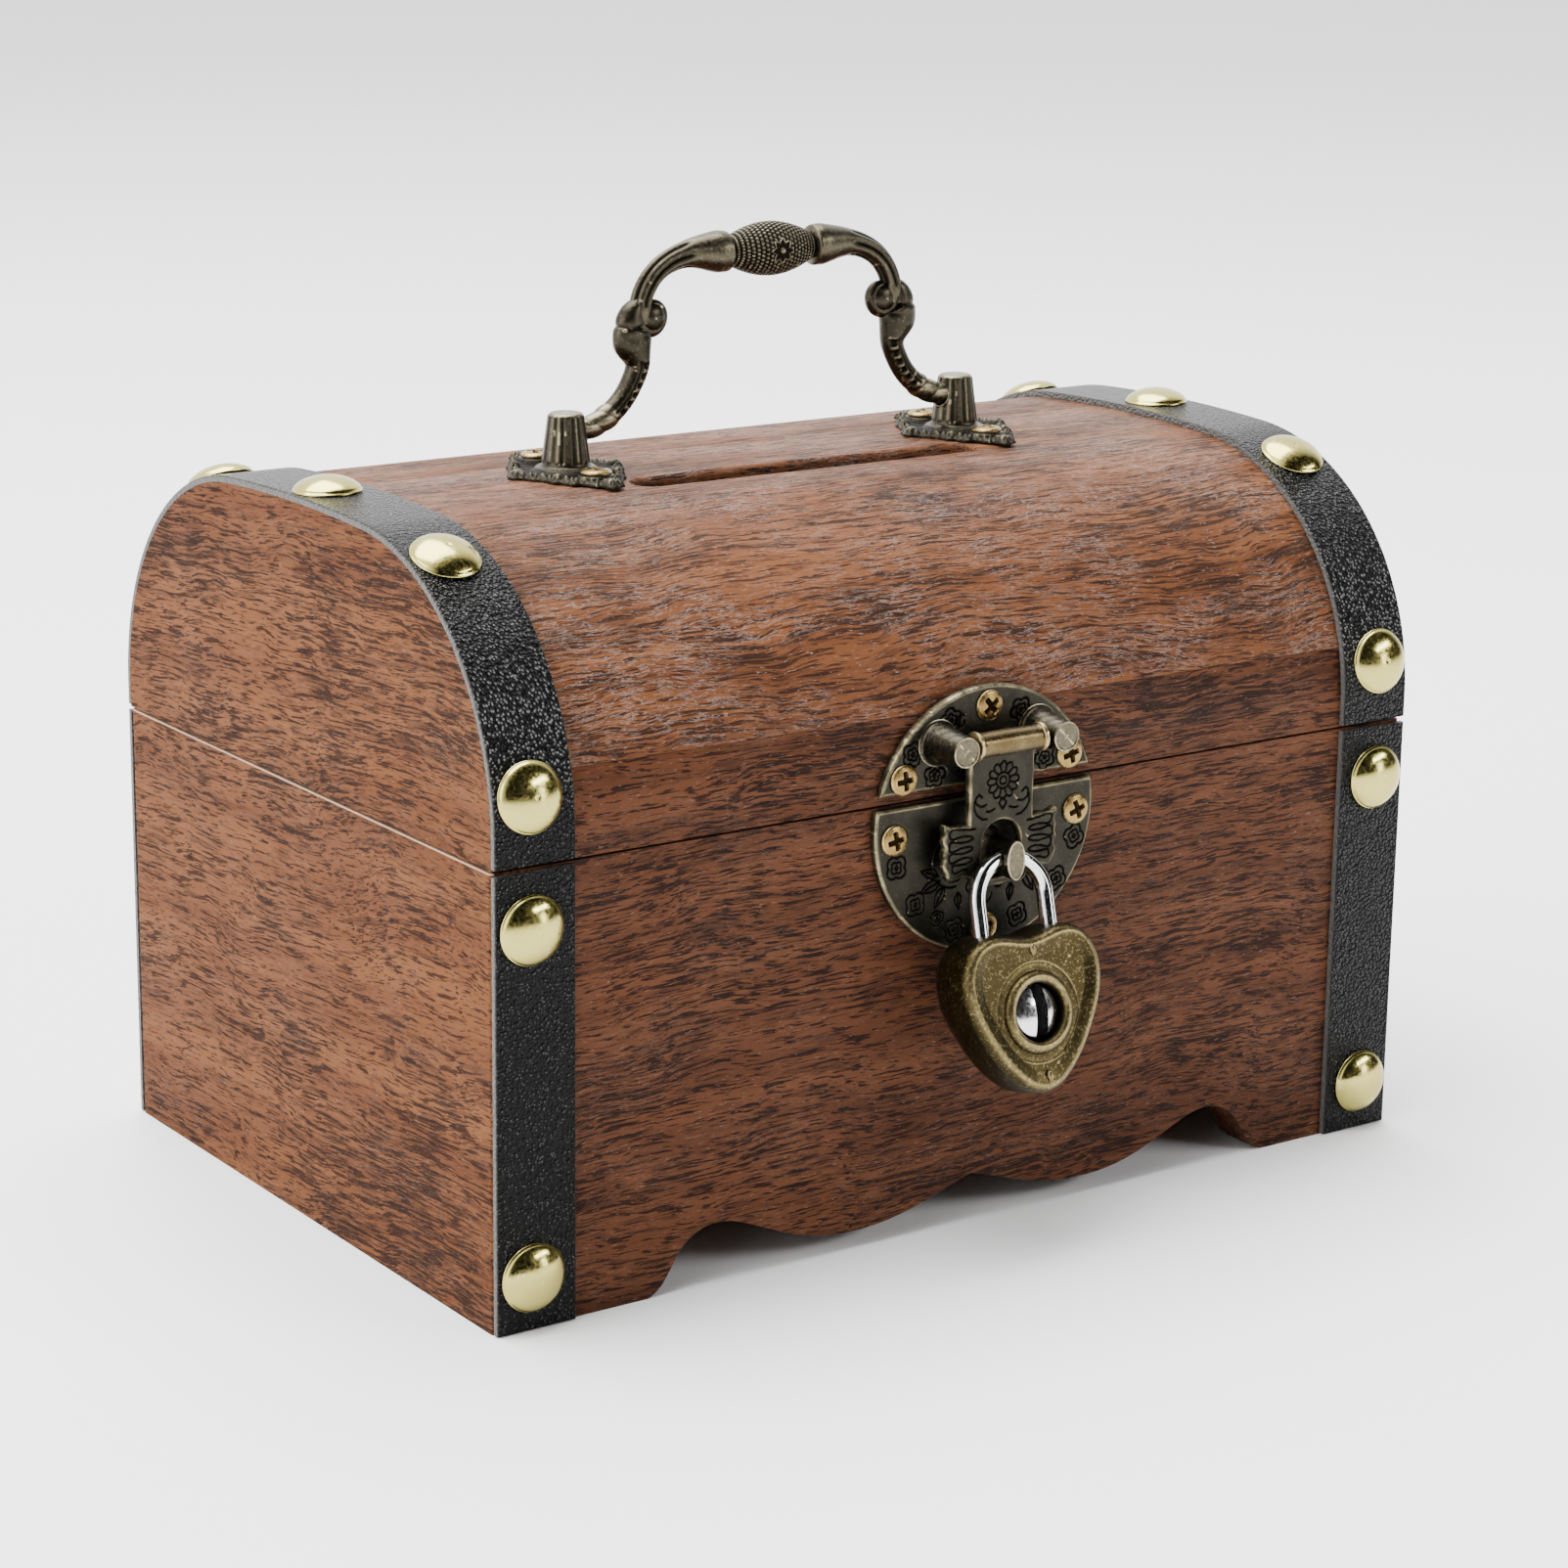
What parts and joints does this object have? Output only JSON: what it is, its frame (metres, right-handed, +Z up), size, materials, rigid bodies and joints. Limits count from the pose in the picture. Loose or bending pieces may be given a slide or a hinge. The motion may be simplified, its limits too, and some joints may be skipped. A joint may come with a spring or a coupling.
{
  "type": "money box",
  "caption": "Wooden treasure-chest money box with an arched hinged lid and coin slot, leather straps, domed tacks, a round hasp with a heart padlock, and a cast bail handle.",
  "frame": {"origin": "middle of the box's footprint, on the plane it stands on", "axes": "+Z up, front with the hasp toward -Y, +X along the box to the viewer's right"},
  "size_m": [0.15, 0.1201, 0.1303],
  "materials": {
    "wood_front": "stained, open grain along the board",
    "wood_back": "stained, open grain along the board",
    "wood_end": "stained, open grain front to back",
    "wood_inner": "stained, matt",
    "wood_top": "stained, open grain along the board",
    "leather": "black pebbled leatherette",
    "tack_brass": "polished",
    "antique_bronze": "dark antique bronze",
    "screw_brass": "bright brass",
    "hinge_brass": "satin brass",
    "shackle_steel": "polished steel",
    "padlock_brass": "aged brass",
    "plug_steel": "polished steel"
  },
  "bodies": {
    "box": {"front_panel": "wood_front", "back_panel": "wood_back", "left_end_panel": "wood_end", "right_end_panel": "wood_end", "bottom_panel": "wood_inner", "box_strap_front_left": "leather", "box_strap_front_right": "leather", "box_strap_back_left": "leather", "box_strap_back_right": "leather", "box_tacks": "tack_brass", "hasp_lower_plate": "antique_bronze", "hasp_staple": "antique_bronze", "hasp_lower_screws": "screw_brass", "hinge_box_leaves": "hinge_brass", "hinge_pins": "hinge_brass", "hinge_box_screws": "screw_brass"},
    "lid": {"lid_left_end": "wood_end", "lid_right_end": "wood_end", "lid_front_rail": "wood_front", "lid_back_rail": "wood_back", "lid_top_shell": "wood_top", "lid_strap_left": "leather", "lid_strap_right": "leather", "lid_tacks": "tack_brass", "hasp_upper_plate": "antique_bronze", "hasp_pin": "antique_bronze", "hasp_upper_screws": "screw_brass", "hinge_lid_leaves": "hinge_brass", "hinge_lid_screws": "screw_brass", "handle_mount_left": "antique_bronze", "handle_mount_right": "antique_bronze", "handle_screws": "screw_brass"},
    "handle": {"handle_bail": "antique_bronze"},
    "flap": {"hasp_flap": "antique_bronze"},
    "shackle": {"padlock_shackle": "shackle_steel"},
    "padlock": {"padlock_body": "padlock_brass", "padlock_bezel": "padlock_brass"},
    "plug": {"lock_plug": "plug_steel"}
  },
  "joints": [
    {"name": "lid_hinge", "type": "hinge", "parent": "box", "child": "lid", "pos_m": [0, 0.05187, 0.0606], "axis": [-1, 0, 0], "range_deg": [0, 105]},
    {"name": "handle_swing", "type": "hinge", "parent": "lid", "child": "handle", "pos_m": [-0.0014, -0.001, 0.1039], "axis": [1, 0, 0], "range_deg": [-92, 92]},
    {"name": "flap_swing", "type": "hinge", "parent": "lid", "child": "flap", "pos_m": [0, -0.0554, 0.0683], "axis": [-1, 0, 0], "range_deg": [0, 160]},
    {"name": "padlock_swing", "type": "hinge", "parent": "box", "child": "shackle", "pos_m": [0, -0.05575, 0.0527], "axis": [-1, 0, 0], "range_deg": [0, 90]},
    {"name": "padlock_release", "type": "slide", "parent": "shackle", "child": "padlock", "axis": [0, -0.2419, -0.9703], "range_m": [0, 0.0045]},
    {"name": "key_turn", "type": "hinge", "parent": "padlock", "child": "plug", "pos_m": [0, -0.06073, 0.03271], "axis": [0, -0.9703, 0.2419], "range_deg": [0, 90]}
  ],
  "couplings": [
    {"joint": "flap_swing", "follows": "lid_hinge", "ratio": 1.5}
  ]
}
